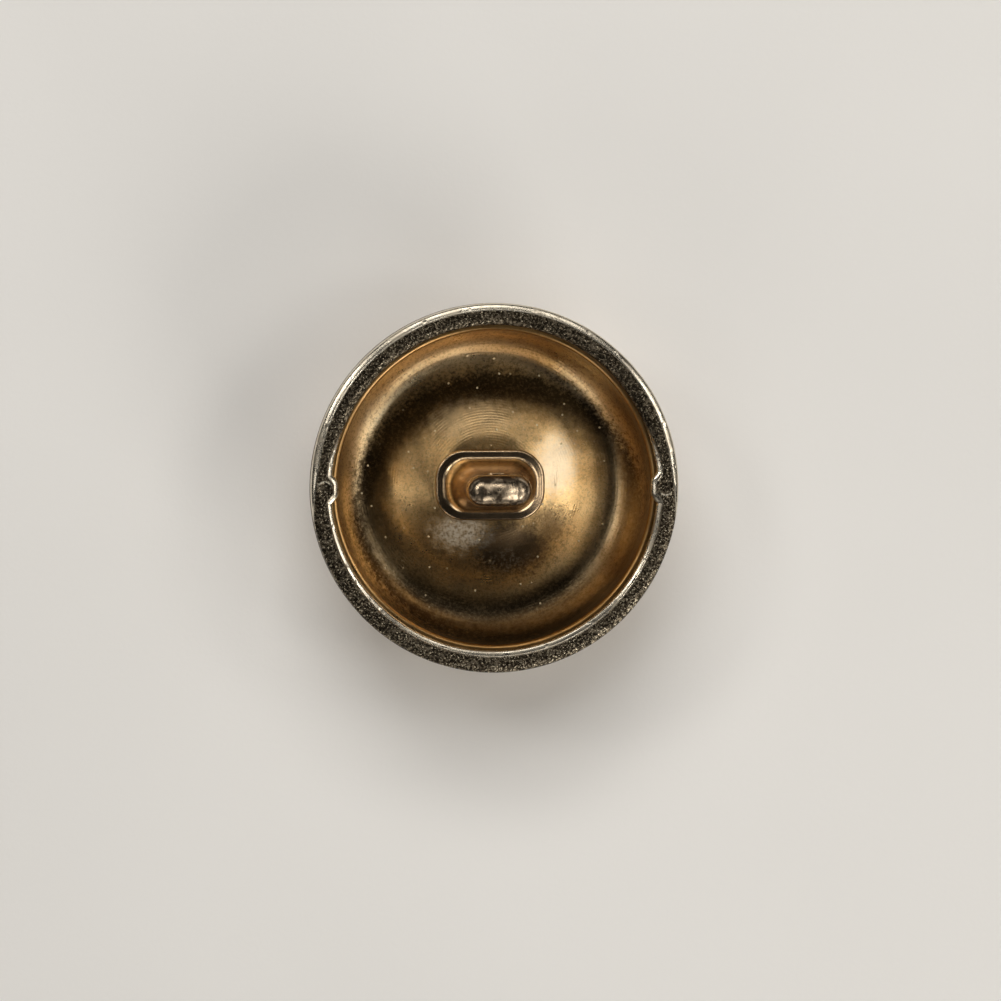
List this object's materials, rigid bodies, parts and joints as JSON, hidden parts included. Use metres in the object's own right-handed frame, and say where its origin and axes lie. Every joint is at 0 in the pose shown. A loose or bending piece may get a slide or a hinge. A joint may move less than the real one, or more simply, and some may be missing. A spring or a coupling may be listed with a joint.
{
  "type": "sew on shank button",
  "caption": "Round domed sew-on button seen from its hollow back: a rolled flat rim round a gold bowl, with an upright shank on an oval flange and a thread eye through it.",
  "frame": {"origin": "lowest point of the domed front, on the button's axis", "axes": "+Z from the front towards the back, where the shank stands; +X along the shank's flange; +Y along the thread eye"},
  "size_m": [0.02, 0.02, 0.0099],
  "materials": {
    "front_shell": "plated, pale gold, worn and finely pitted on the rim",
    "packing_disc": "pressed board",
    "back_cup": "gilt, softly worn",
    "shank_washer": "plain",
    "shank": "gilt, rubbed to silver on the head"
  },
  "bodies": {
    "root": {"front_shell": "front_shell", "packing_disc": "packing_disc", "back_cup": "back_cup", "shank_washer": "shank_washer", "shank": "shank"}
  },
  "joints": []
}
